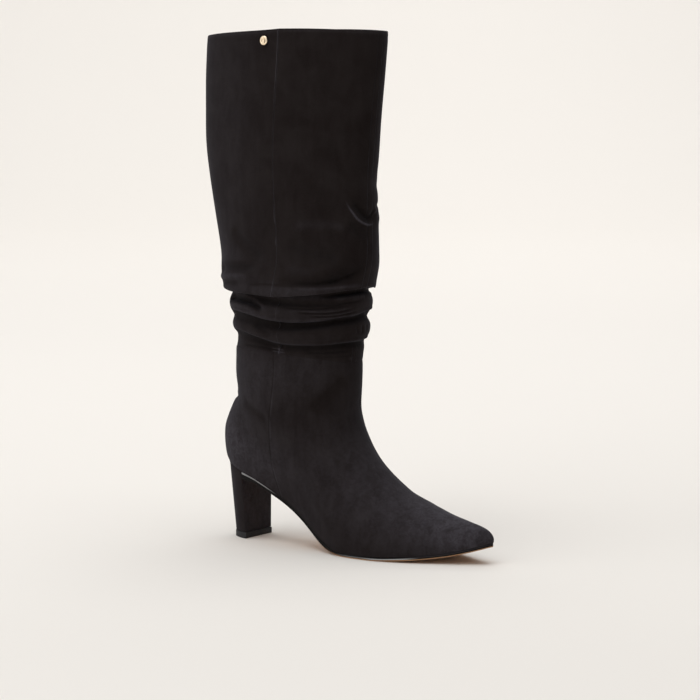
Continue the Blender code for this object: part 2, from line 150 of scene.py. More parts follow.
class Graph:
    """The node tree of one material, round its Principled shader."""

    def __init__(self, name: str) -> None:
        self.material = bpy.data.materials.new(name)
        self.material.use_nodes = True
        self.tree = self.material.node_tree
        self.shader = self.tree.nodes["Principled BSDF"]

    def node(self, kind: str, settings: Optional[dict] = None,
             inputs: Optional[dict] = None) -> bpy.types.Node:
        """Adds a node.

        Args:
            kind: the node's type name.
            settings: properties to set on it.
            inputs: socket name or index to a value, a wire or a socket.

        Returns:
            The node.
        """
        made = self.tree.nodes.new(kind)
        for key, setting in (settings or {}).items():
            setattr(made, key, setting)
        for key, value in (inputs or {}).items():
            self.join(made.inputs[key], value)
        return made

    def join(self, socket: bpy.types.NodeSocket, value: Value) -> None:
        """Links or sets one input.

        Args:
            socket: the input.
            value: a wire, a socket, a number or a colour.
        """
        if isinstance(value, Wire):
            self.tree.links.new(value.socket, socket)
        elif isinstance(value, bpy.types.NodeSocket):
            self.tree.links.new(value, socket)
        else:
            socket.default_value = value

    def set(self, **values: Value) -> None:
        """Sets or links inputs of the Principled shader.

        Args:
            values: input names with spaces as underscores.
        """
        for key, value in values.items():
            self.join(self.shader.inputs[key.replace("_", " ")], value)

    def place(self, stretch: Sequence[float] = (1.0, 1.0, 1.0)) -> bpy.types.NodeSocket:
        """Object coordinates.

        Args:
            stretch: scale along X, Y and Z.

        Returns:
            The vector socket.
        """
        place = self.node("ShaderNodeTexCoord").outputs["Object"]
        return self.node("ShaderNodeMapping", None, {"Vector": place, "Scale": stretch}).outputs[0]

    def axes(self) -> tuple[Wire, Wire, Wire]:
        """Object coordinates one by one.

        Returns:
            X, Y and Z in metres.
        """
        parts = self.node("ShaderNodeSeparateXYZ", None, {0: self.place()})
        along, across, up = (Wire(self, parts.outputs[i]) for i in range(3))
        return along, across, up

    def noise(self, scale: float, detail: float = 2.0, warp: float = 0.0,
              stretch: Sequence[float] = (1.0, 1.0, 1.0)) -> Wire:
        """Fractal noise on Object coordinates.

        Args:
            scale: cells a metre.
            detail: octaves.
            warp: distortion.
            stretch: scale along X, Y and Z.

        Returns:
            A wire of about 0 to 1 with its middle at 0.5.
        """
        inputs = {"Vector": self.place(stretch), "Scale": scale, "Detail": detail, "Distortion": warp}
        return Wire(self, self.node("ShaderNodeTexNoise", None, inputs).outputs["Fac"])

    def attribute(self, name: str) -> Wire:
        """A float attribute of the mesh.

        Args:
            name: the attribute.

        Returns:
            Its value.
        """
        node = self.node("ShaderNodeAttribute", {"attribute_name": name})
        return Wire(self, node.outputs["Fac"])

    def wrap(self) -> tuple[Wire, Wire]:
        """The wrap map of a leg or foot.

        Returns:
            The share of the way round from the shin, and the height in metres.
        """
        uv = self.node("ShaderNodeUVMap", {"uv_map": WRAP})
        parts = self.node("ShaderNodeSeparateXYZ", None, {0: uv.outputs[0]})
        return Wire(self, parts.outputs[0]), Wire(self, parts.outputs[1])

    def blend(self, factor: Value, low: Value, high: Value) -> bpy.types.NodeSocket:
        """Mixes two colours.

        Args:
            factor: 0 for low, 1 for high.
            low: a colour or socket.
            high: a colour or socket.

        Returns:
            The mixed colour's socket.
        """
        mix = self.node("ShaderNodeMix", {"data_type": "RGBA"}, {0: factor})
        self.join(mix.inputs[6], low)
        self.join(mix.inputs[7], high)
        return mix.outputs[2]

    def bump(self, height: Wire, depth: float, after: Optional[bpy.types.NodeSocket] = None,
             strength: float = 1.0) -> bpy.types.NodeSocket:
        """A bump from a height.

        Args:
            height: 0 to 1.
            depth: metres from 0 to 1.
            after: the normal to build on.
            strength: share of the effect.

        Returns:
            The normal socket.
        """
        inputs = {"Height": height, "Distance": depth, "Strength": strength}
        if after is not None:
            inputs["Normal"] = after
        return self.node("ShaderNodeBump", None, inputs).outputs[0]


def colour(red: float, green: float, blue: float) -> Quad:
    """A linear colour with full alpha.

    Args:
        red: red part.
        green: green part.
        blue: blue part.

    Returns:
        The four values.
    """
    return red, green, blue, 1.0


# Finishes

# Most of a noise's range
SPREAD = (0.3, 0.7)


@dataclass(frozen=True)
class Seam:
    """A seam in the suede: where it lies, half the width of its groove, and how rubbed the edge beside it is.

    place is a share of the way round the leg from the shin, or metres ahead of the foot's seam line, and
    groove is in the same measure.
    """

    place: float
    groove: float = 0.0011
    rubbed: float = 0.3

    def draw(self, graph: Graph, offset: Wire, strokes: Wire, tone: Wire, normal: bpy.types.NodeSocket,
             shown: Union[Wire, float]) -> tuple[Wire, bpy.types.NodeSocket]:
        """Draws the seam: a dark groove with a rubbed edge beside it.

        Args:
            graph: the material.
            offset: signed distance from the seam.
            strokes: noise that breaks the rubbed edge.
            tone: the shade so far.
            normal: the normal so far.
            shown: 1 where the seam shows.

        Returns:
            The new shade and normal.
        """
        groove = self.groove
        cut = offset.absolute().ramp(groove, 0.2 * groove) * shown
        edge = (offset - 1.6 * groove).absolute().ramp(1.3 * groove, 0.3 * groove)
        shade = tone - cut * 0.35 + edge * strokes.ramp(0.36, 0.60) * self.rubbed
        return shade, graph.bump(cut, -0.35 * MM, normal, 0.8)


SIDE_SEAM = 0.2362
LEG_SEAMS = (
    Seam(0.009, rubbed=0.30),
    Seam(0.031, rubbed=0.22),
    Seam(SIDE_SEAM, rubbed=0.42),
    Seam(-SIDE_SEAM, rubbed=0.42),
)
FOOT_SEAM = Seam(0.0, 0.8 * MM, 0.22)


@dataclass(frozen=True)
class Suede:
    """Brushed black suede.

    The four colours are the suede's two plain shades, a painted shade for troughs, and a colour that is both
    that of rubbed suede and the painted highlight of ridges and lit places. patch, stroke, mottle,
    worn_places, fibre and grain are scales of noise, in cells a metre. shares is how much patches, strokes
    and fibres count in the shade. pile is the depth of the fibres, and slouch the band of the folds, where
    the seams are hidden, both in metres.
    """

    name: str
    dark: Triple = (0.0096, 0.0062, 0.0055)
    light: Triple = (0.0165, 0.0124, 0.0119)
    painted_shade_colour: Triple = (0.0020, 0.0014, 0.0012)
    worn: Triple = (0.052, 0.047, 0.055)
    patch: float = 42.0
    stroke: float = 130.0
    mottle: float = 330.0
    worn_places: float = 38.0
    fibre: float = 800.0
    grain: float = 2600.0
    shares: Triple = (0.40, 0.32, 0.28)
    pile: float = 0.16 * MM
    slouch: Pair = (172 * MM, 204 * MM)
    seams: tuple[Seam, ...] = ()
    foot_seam: Optional[Seam] = None

    def build(self) -> bpy.types.Material:
        """Makes the material.

        Returns:
            The material.
        """
        graph = Graph(self.name)
        patches = graph.noise(self.patch, 3.0, 0.5)
        strokes = graph.noise(self.stroke, 4.0, 0.5, (1.0, 1.0, 0.35))
        grain = graph.noise(self.grain, 2.0)
        fibre = graph.noise(self.fibre, 4.0, 1.2)
        mottle = graph.noise(self.mottle, 3.0, 0.8)
        by_patch, by_stroke, by_fibre = self.shares
        tone = patches.ramp(0.32, 0.68) * by_patch + strokes.ramp(0.32, 0.68) * by_stroke
        tone = tone + fibre.ramp(*SPREAD) * by_fibre
        broken = strokes.ramp(0.25, 0.75, 0.48, 1.02) + mottle.ramp(*SPREAD, 0.0, 0.5)
        # Painted shade and highlights from the mesh layer, with some wear, broken by noise
        painted_light_with_wear = graph.attribute(PAINTED_LIGHT_AND_WEAR_LAYER) * broken
        normal = graph.bump(fibre * 0.6 + grain * 0.4, self.pile, strength=0.5)
        painted_light_with_wear, normal = self.sew(graph, strokes, painted_light_with_wear, normal)
        # Towards a painted shade below zero, and above zero towards a colour that is both rubbed suede and
        # painted highlight
        base = graph.blend(tone, colour(*self.dark), colour(*self.light))
        shaded = graph.blend((-painted_light_with_wear).clamped(), base, colour(*self.painted_shade_colour))
        graph.set(
            Base_Color=graph.blend(painted_light_with_wear.clamped(), shaded, colour(*self.worn)),
            Roughness=patches.ramp(*SPREAD, 0.97, 0.88),
            Specular_IOR_Level=0.10,
            Sheen_Weight=0.06,
            Sheen_Roughness=0.5,
            Sheen_Tint=colour(0.72, 0.74, 0.95),
            Normal=normal,
        )
        return graph.material

    def sew(self, graph: Graph, strokes: Wire, tone: Wire,
            normal: bpy.types.NodeSocket) -> tuple[Wire, bpy.types.NodeSocket]:
        """Draws the seams.

        Args:
            graph: the material.
            strokes: noise that breaks their rubbed edges.
            tone: the shade so far.
            normal: the normal so far.

        Returns:
            The new shade and normal.
        """
        if self.seams:
            low, high = self.slouch
            around, up = graph.wrap()
            shown = up.ramp(high, high + 8 * MM) + up.ramp(low, low - 6 * MM)
            worn = graph.noise(self.worn_places, 2.0, 0.0, (0.3, 0.3, 1.0)).ramp(0.42, 0.58, 0.62, 1.35)
            for seam in self.seams:
                rubbed = strokes * shown * worn
                tone, normal = seam.draw(graph, around - seam.place, rubbed, tone, normal, shown)
        if self.foot_seam:
            offset = self.foot_distance(graph) - self.foot_seam.place
            tone, normal = self.foot_seam.draw(graph, offset, strokes, tone, normal, 0.45)
        return tone, normal

    @staticmethod
    def foot_distance(graph: Graph) -> Wire:
        """Distance forward from the foot's side seam, which bends to the toe near the sole.

        Args:
            graph: the material.

        Returns:
            The distance in metres.
        """
        along, _, up = graph.axes()
        seam = up.ramp(150 * MM, 78 * MM, -46.6 * MM, -56.8 * MM) + up.ramp(74 * MM, 30 * MM, 0.0, 9.2 * MM)
        return along - seam


@dataclass(frozen=True)
class PaintedEdge:
    """Black painted edge of the sole, polished along the waist and the ball, with a highlight painted into
    its colour there.

    From the ball to the toe it shows the tan leather at its foot, and the suede comes down over its top. Each
    pair is a stretch along the sole, in metres, over which that feature comes in.
    """

    name: str = "sole_edge"
    waist: Pair = (-52 * MM, -70 * MM)
    ball_faint: Pair = (12 * MM, 34 * MM)
    ball_full: Pair = (42 * MM, 56 * MM)
    ball_end: Pair = (92 * MM, 78 * MM)
    tan_foot: Pair = (-4 * MM, 26 * MM)
    suede_top: Pair = (66 * MM, 104 * MM)
    black: tuple[Triple, Triple] = ((0.008, 0.007, 0.007), (0.013, 0.012, 0.012))
    tan: Triple = (0.42, 0.24, 0.13)
    suede: Triple = (0.034, 0.030, 0.033)
    painted_highlight_colour: Triple = (0.40, 0.40, 0.40)
    faint: float = 0.35

    def build(self) -> bpy.types.Material:
        """Makes the material.

        Returns:
            The material.
        """
        graph = Graph(self.name)
        wear = graph.noise(260.0, 3.0, 0.3)
        ripple = graph.noise(90.0, 2.0, 0.0, (1.0, 1.0, 3.0))
        along, _, _ = graph.axes()
        rim = graph.attribute(RIM)
        # Bands where the edge is polished, with a painted highlight in its colour: along the waist and along
        # the ball
        waist = along.ramp(*self.waist) * rim.ramp(0.64, 0.74) * rim.ramp(0.98, 0.92)
        faint = along.ramp(*self.ball_faint) * self.faint
        bright = faint + along.ramp(*self.ball_full) * (1 - self.faint)
        ball = bright * along.ramp(*self.ball_end) * rim.ramp(0.26, 0.36) * rim.ramp(0.64, 0.52)
        polish_and_painted_highlight = (waist + ball).clamped()
        painted = graph.blend(wear.ramp(0.35, 0.7), *(colour(*shade) for shade in self.black))
        top = along.ramp(*self.suede_top) * rim.ramp(0.52, 0.62)
        foot = along.ramp(*self.tan_foot) * rim.ramp(0.28, 0.16)
        covered = graph.blend(top, painted, colour(*self.suede))
        trimmed = graph.blend(foot, covered, colour(*self.tan))
        # The painted highlight is mixed into the colour; the same bands are also less rough
        graph.set(
            Base_Color=graph.blend(polish_and_painted_highlight, trimmed, colour(*self.painted_highlight_colour)),
            Roughness=polish_and_painted_highlight * -0.4 + wear.ramp(*SPREAD, 0.62, 0.74),
            Specular_IOR_Level=0.10,
            Normal=graph.bump(ripple, 0.12 * MM, strength=0.4),
        )
        return graph.material


@dataclass(frozen=True)
class Smooth:
    """A smooth surface of two close colours with a fine relief.

    cloud is what Graph.noise takes. grain is the scale of the relief, in cells a metre; where it is 0, the
    cloud is the relief. pebbled makes the relief one of small cells.
    """

    name: str
    dark: Triple
    light: Triple
    cloud: tuple
    rough: Pair
    grain: float = 0.0
    pebbled: bool = False
    depth: float = 0.08 * MM
    strength: float = 0.5
    metallic: float = 0.0
    specular: float = 0.5

    def build(self) -> bpy.types.Material:
        """Makes the material.

        Returns:
            The material.
        """
        graph = Graph(self.name)
        cloud = graph.noise(*self.cloud)
        graph.set(
            Base_Color=graph.blend(cloud.ramp(*SPREAD), colour(*self.dark), colour(*self.light)),
            Metallic=self.metallic,
            Roughness=cloud.ramp(*SPREAD, *self.rough),
            Specular_IOR_Level=self.specular,
            Normal=graph.bump(self.relief(graph, cloud), self.depth, strength=self.strength),
        )
        return graph.material

    def relief(self, graph: Graph, cloud: Wire) -> Wire:
        """The height of the fine relief.

        Args:
            graph: the material.
            cloud: its cloud.

        Returns:
            About 0 to 1.
        """
        if self.pebbled:
            inputs = {"Vector": graph.place(), "Scale": self.grain}
            cells = graph.node("ShaderNodeTexVoronoi", {"feature": "DISTANCE_TO_EDGE"}, inputs)
            return Wire(graph, cells.outputs["Distance"]).ramp(0.0, 0.25)
        return graph.noise(self.grain) if self.grain else cloud


TAN_LEATHER = Smooth("sole_underside", (0.46, 0.25, 0.13), (0.60, 0.36, 0.20), (45.0, 4.0, 0.5), (0.38, 0.52),
                     grain=1500.0)
LINING = Smooth("lining", (0.020, 0.017, 0.016), (0.036, 0.031, 0.029), (40.0, 3.0, 0.4), (0.50, 0.62),
                grain=900.0, pebbled=True, strength=0.6)
FOOT_LINING = replace(LINING, name="foot_lining")
SOCK_LEATHER = replace(LINING, name="sock_leather", dark=(0.030, 0.025, 0.022), light=(0.050, 0.043, 0.039))
RUBBER = Smooth("top_piece_rubber", (0.024, 0.024, 0.026), (0.038, 0.038, 0.041), (500.0, 3.0), (0.58, 0.72),
                depth=0.1 * MM, strength=0.4, specular=0.2)
GOLD = Smooth("rivet_gold", (0.92, 0.72, 0.48), (0.98, 0.82, 0.62), (900.0, 3.0, 0.0, (1.0, 1.0, 0.2)),
              (0.30, 0.38), depth=0.01 * MM, strength=0.15, metallic=1.0)


@dataclass(frozen=True)
class Paper:
    """Pale studio sweep, shaded a little so that it looks even from the camera's side.

    near, far and aside are stretches in metres, away from the camera or across its view, each with the change
    of shade over it, where 0 is dim and 1 is bright.
    """

    azimuth: float
    name: str = "studio_paper"
    dim: Triple = (0.823, 0.791, 0.749)
    bright: Triple = (0.902, 0.867, 0.824)
    near: Quad = (-0.2, 1.4, 0.22, 0.83)
    far: Quad = (2.0, 3.6, 0.0, -0.30)
    aside: Quad = (-0.6, 0.6, -0.13, 0.13)

    def build(self) -> bpy.types.Material:
        """Makes the material.

        Returns:
            The material.
        """
        graph = Graph(self.name)
        along, across, _ = graph.axes()
        away = across * math.cos(self.azimuth) - along * math.sin(self.azimuth)
        right = along * math.cos(self.azimuth) + across * math.sin(self.azimuth)
        cloud = graph.noise(0.8, 2.0).ramp(*SPREAD, -0.03, 0.03)
        fibres = graph.noise(300.0, 2.0)
        shade = away.ramp(*self.near) + away.ramp(*self.far) + right.ramp(*self.aside) + cloud
        graph.set(
            Base_Color=graph.blend(shade, colour(*self.dim), colour(*self.bright)),
            Roughness=fibres.ramp(*SPREAD, 0.85, 0.95),
            Specular_IOR_Level=0.2,
        )
        return graph.material


# Meshes


def merged_copy(node: str) -> bmesh.types.BMesh:
    """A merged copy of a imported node's mesh, with its triangles joined to quads.

    Args:
        node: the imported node.

    Returns:
        The new bmesh.
    """
    bm = bmesh.new()
    bm.from_mesh(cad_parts[node].data)
    bmesh.ops.remove_doubles(bm, verts=bm.verts, dist=0.01 * MM)
    bmesh.ops.join_triangles(
        bm,
        faces=bm.faces,
        cmp_seam=False,
        cmp_sharp=False,
        cmp_uvs=False,
        cmp_vcols=False,
        cmp_materials=False,
        angle_face_threshold=math.radians(60),
        angle_shape_threshold=math.radians(60),
    )
    bmesh.ops.recalc_face_normals(bm, faces=bm.faces)
    return bm


def link_mesh(name: str, bm: bmesh.types.BMesh) -> bpy.types.Object:
    """Makes a smooth-shaded object from a bmesh.

    Args:
        name: the piece's name.
        bm: its mesh, freed here.

    Returns:
        The linked object.
    """
    mesh = bpy.data.meshes.new(name)
    bm.to_mesh(mesh)
    bm.free()
    mesh.shade_smooth()
    obj = bpy.data.objects.new(name, mesh)
    bpy.context.scene.collection.objects.link(obj)
    return obj


def read(items: bpy.types.bpy_prop_collection, key: str, width: int = 1, kind: type = float) -> np.ndarray:
    """Reads one property of all items of a mesh.

    Args:
        items: vertices, loops, polygons or normals.
        key: the property.
        width: numbers an item.
        kind: float or int.

    Returns:
        An array of n, or of n by width.
    """
    flat = np.empty(len(items) * width, kind)
    items.foreach_get(key, flat)
    return flat.reshape(-1, width) if width > 1 else flat


def positions(mesh: bpy.types.Mesh) -> np.ndarray:
    """All vertex places of a mesh.

    Args:
        mesh: the mesh.

    Returns:
        An array of n by 3.
    """
    return read(mesh.vertices, "co", 3)


def place_vertices(mesh: bpy.types.Mesh, places: np.ndarray) -> None:
    """Moves all vertices of a mesh.

    Args:
        mesh: the mesh.
        places: their new places.
    """
    mesh.vertices.foreach_set("co", places.ravel())
    mesh.update()


def write_layer(mesh: bpy.types.Mesh, name: str, values: np.ndarray) -> None:
    """Gives every vertex of a mesh a number.

    Args:
        mesh: the mesh.
        name: the layer's name.
        values: the numbers.
    """
    layer = mesh.attributes.new(name, "FLOAT", "POINT")
    layer.data.foreach_set("value", values)


def refine(obj: bpy.types.Object, levels: int) -> None:
    """Subdivides a mesh smoothly so that the surface still runs through its old vertices.

    Args:
        obj: the object, whose mesh is replaced.
        levels: number of subdivisions.
    """
    rounds, pull = 3, 0.9
    target = positions(obj.data)
    count = len(target)
    smoother = obj.modifiers.new("smooth", "SUBSURF")
    smoother.levels = smoother.render_levels = levels
    smoother.boundary_smooth = "PRESERVE_CORNERS"
    control = target.copy()
    made = None
    for attempt in range(rounds + 1):
        place_vertices(obj.data, control)
        if made is not None:
            bpy.data.meshes.remove(made)
        graph = bpy.context.evaluated_depsgraph_get()
        graph.update()
        made = bpy.data.meshes.new_from_object(obj.evaluated_get(graph))
        if attempt < rounds:
            control += pull * (target - positions(made)[:count])
    obj.modifiers.clear()
    old = obj.data
    obj.data = made
    made.name = obj.name
    bpy.data.meshes.remove(old)


def part_by_angle(start: bmesh.types.BMFace, limit: float) -> set:
    """The faces that join on to a face without a sharp edge between.

    Args:
        start: the first face.
        limit: the sharpest angle that is still crossed, in radians.

    Returns:
        The faces found.
    """
    found = {start}
    front = [start]
    while front:
        face = front.pop()
        for edge in face.edges:
            if len(edge.link_faces) != 2 or edge.calc_face_angle() > limit:
                continue
            for other in edge.link_faces:
                if other not in found:
                    found.add(other)
                    front.append(other)
    return found


def close_pairs(bm: bmesh.types.BMesh, limit: float = 3.6 * MM) -> None:
    """Merges pairs of columns that stand close side by side.

    Args:
        bm: the mesh.
        limit: level edges shorter than this are closed, in metres.
    """
    flank, level = 12 * MM, 0.8
    short = []
    for edge in bm.edges:
        way = edge.verts[1].co - edge.verts[0].co
        if abs(edge.verts[0].co.y) > flank and way.length < limit and abs(way.x) > level * way.length:
            short.append(edge)
    log.info("closed %d short edges", len(short))
    bmesh.ops.collapse(bm, edges=short, uvs=False)


def densify(obj: bpy.types.Object, low: float, high: float, longest: float) -> None:
    """Cuts the upright edges of a band in two where they are longer than a limit.

    Args:
        obj: the object.
        low: bottom of the band, in metres.
        high: top of the band.
        longest: the limit.
    """
    bm = bmesh.new()
    bm.from_mesh(obj.data)
    upright = []
    for edge in bm.edges:
        a, b = edge.verts[0].co.z, edge.verts[1].co.z
        if low < (a + b) / 2 < high and abs(a - b) > longest:
            upright.append(edge)
    bmesh.ops.subdivide_edges(bm, edges=upright, cuts=1, use_grid_fill=True)
    bm.to_mesh(obj.data)
    bm.free()


def wall_skin(node: str, name: str, inside: bool, limit: float,
              paired: bool = True) -> bpy.types.Object:
    """One skin of a packed wall: the outside with its rims, or the inside alone.

    Args:
        node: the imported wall.
        name: the new piece.
        inside: True for the inner skin.
        limit: the sharpest angle inside a skin, in radians; its rims are sharper.
        paired: False where close pairs of columns are merged.

    Returns:
        The new object.
    """
    bm = merged_copy(node)
    if not paired:
        close_pairs(bm)
    widest = max(bm.faces, key=lambda f: abs(f.calc_center_median().y))
    outer = part_by_angle(widest, limit)
    rest = [f for f in bm.faces if f not in outer]
    rim = [f for f in rest if any(o in outer for e in f.edges for o in e.link_faces)]
    inner = [f for f in rest if f not in set(rim)]
    dropped = list(outer) + rim if inside else inner
    bmesh.ops.delete(bm, geom=dropped, context="FACES")
    return link_mesh(name, bm)


def bevelled(node: str, name: str, width: float, angle: float, segments: int = 3,
             raised: float = 0.0) -> bpy.types.Object:
    """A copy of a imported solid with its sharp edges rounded.

    Args:
        node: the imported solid.
        name: the new piece.
        width: the rounding, in metres.
        angle: edges sharper than this are rounded, in radians.
        segments: faces across the rounding.
        raised: where given, the top is raised this far and its edges stay sharp.

    Returns:
        The new object.
    """
    facing_up = 0.3
    bm = merged_copy(node)
    edges = [e for e in bm.edges if len(e.link_faces) == 2 and e.calc_face_angle() > angle]
    if raised:
        bm.normal_update()
        top = {v for f in bm.faces if f.normal.z > facing_up for v in f.verts}
        edges = [e for e in edges if not (e.verts[0] in top and e.verts[1] in top)]
        bmesh.ops.translate(bm, vec=Vector((0, 0, raised)), verts=list(top))
    bmesh.ops.bevel(bm, geom=edges, offset=width, offset_type="OFFSET", segments=segments, profile=0.5,
                    affect="EDGES", material=-1, clamp_overlap=True)
    return link_mesh(name, bm)


# Creases

# How far a crease is felt, in its widths
REACH = 3


@dataclass(frozen=True)
class Crease:
    """A soft trough, or a ridge where depth is negative, along a line on a wall.

    Places in the line are the share of the way round from the shin by the outer side, and the height in
    millimetres. All other lengths are in millimetres. rise is a ridge beside the trough, set off upwards by
    offset. tint paints shade along the trough, or a highlight where it is positive; on the stitch and tack
    lines it stands for thread and rubbed suede. glow paints a highlight on the ridge beside it. fade is the
    share of the line over which it runs out at either end. crisp is the width of the trough's upper side, as
    a share of the width.
    """

    name: str
    line: tuple[Pair, ...]
    depth: float
    width: float
    rise: float = 0.0
    offset: float = 0.0
    rise_width: float = 1.0
    painted_light_and_wear: float = 0.0
    painted_ridge_highlight: float = 0.0
    fade: float = 0.2
    crisp: float = 1.0


@dataclass(frozen=True)
class PaintedLightPatch:
    """A soft patch of painted light, in millimetres; amount lightens, or darkens as painted shade where
    negative.
    """

    middle: Triple
    reach: Triple
    amount: float


@dataclass
class WallMap:
    """Unrolls a wall: the share of the way round from the shin, and the height."""

    heights: np.ndarray
    centre: np.ndarray
    half_depth: np.ndarray
    half_width: np.ndarray

    @staticmethod
    def measure(places: np.ndarray, low: float, high: float, step: float = 2 * MM) -> "WallMap":
        """Measures slices of a wall.

        Args:
            places: its vertices.
            low: lowest slice.
            high: highest slice.
            step: distance between slices.

        Returns:
            The map.
        """
        levels = np.arange(low, high + step / 2, step)
        reach = 5 * MM
        rows = []
        for level in levels:
            near = places[np.abs(places[:, 2] - level) < reach]
            back, front = near[:, 0].min(), near[:, 0].max()
            rows.append(((back + front) / 2, (front - back) / 2, np.abs(near[:, 1]).max()))
        table = np.array(rows)
        return WallMap(levels, table[:, 0], table[:, 1], table[:, 2])

    def turn(self, places: np.ndarray) -> np.ndarray:
        """Share of the way round, -0.5 to 0.5, positive on the outer side.

        Args:
            places: vertices.

        Returns:
            One value for each.
        """
        z = places[:, 2]
        x = places[:, 0] - np.interp(z, self.heights, self.centre)
        y = -places[:, 1] / np.interp(z, self.heights, self.half_width)
        return np.arctan2(y, x / np.interp(z, self.heights, self.half_depth)) / (2 * math.pi)

    def girth(self, z: np.ndarray) -> np.ndarray:
        """Length round the wall at a height, in millimetres.

        Args:
            z: heights in metres.

        Returns:
            The lengths.
        """
        a = np.interp(z, self.heights, self.half_depth) / MM
        b = np.interp(z, self.heights, self.half_width) / MM
        return 2 * math.pi * np.sqrt((a * a + b * b) / 2)

    def unroll(self, places: np.ndarray) -> np.ndarray:
        """Millimetres round and up.

        Args:
            places: vertices.

        Returns:
            An array of n by 2.
        """
        z = places[:, 2]
        return np.stack([self.turn(places) * self.girth(z), z / MM], axis=1)

    def unroll_line(self, line: Sequence[Pair]) -> np.ndarray:
        """Unrolls the points of a line.

        Args:
            line: share of the way round and height in millimetres.

        Returns:
            An array of n by 2.
        """
        points = np.array(line, float)
        return np.stack([points[:, 0] * self.girth(points[:, 1] * MM), points[:, 1]], axis=1)


def smooth_step(low: float, high: float, x: np.ndarray) -> np.ndarray:
    """A smooth step from 0 to 1.

    Args:
        low: where it starts.
        high: where it ends.
        x: values.

    Returns:
        The stepped values.
    """
    t = np.clip((x - low) / (high - low), 0, 1)
    return t * t * (3 - 2 * t)


def curve_through(points: np.ndarray, steps: int = 6) -> np.ndarray:
    """A smooth line through 2-D points.

    Args:
        points: the points.
        steps: new points for each stretch.

    Returns:
        The denser line.
    """
    if len(points) < 3:
        return points
    along = np.concatenate([[0], np.cumsum(np.linalg.norm(np.diff(points, axis=0), axis=1))])
    slope = np.gradient(points, along, axis=0)
    dense = []
    for i in range(len(points) - 1):
        step = along[i + 1] - along[i]
        for k in range(steps):
            t = k / steps
            dense.append(
                (2 * t**3 - 3 * t**2 + 1) * points[i]
                + (t**3 - 2 * t**2 + t) * step * slope[i]
                + (3 * t**2 - 2 * t**3) * points[i + 1]
                + (t**3 - t**2) * step * slope[i + 1]
            )
    dense.append(points[-1])
    return np.array(dense)


def distance_to_line(points: np.ndarray, line: np.ndarray) -> tuple[np.ndarray, np.ndarray, np.ndarray]:
    """Nearest distance to a line, with where and on which side.

    Args:
        points: n by 2.
        line: m by 2.

    Returns:
        Distance, height above the line and share along it, for each point.
    """
    lengths = np.linalg.norm(np.diff(line, axis=0), axis=1)
    total = lengths.sum()
    best = np.full(len(points), 1e9)
    above = np.zeros(len(points))
    share = np.zeros(len(points))
    start = 0.0
    for a, b, length in zip(line, line[1:], lengths):
        way = (b - a) / max(length, 1e-9)
        t = np.clip((points - a) @ way, 0, length)
        offset = points - (a + t[:, None] * way)
        gap = np.linalg.norm(offset, axis=1)
        nearer = gap < best
        best = np.where(nearer, gap, best)
        above = np.where(nearer, np.sign(offset[:, 1]) * gap, above)
        share = np.where(nearer, (start + t) / total, share)
        start += length
    return best, above, share


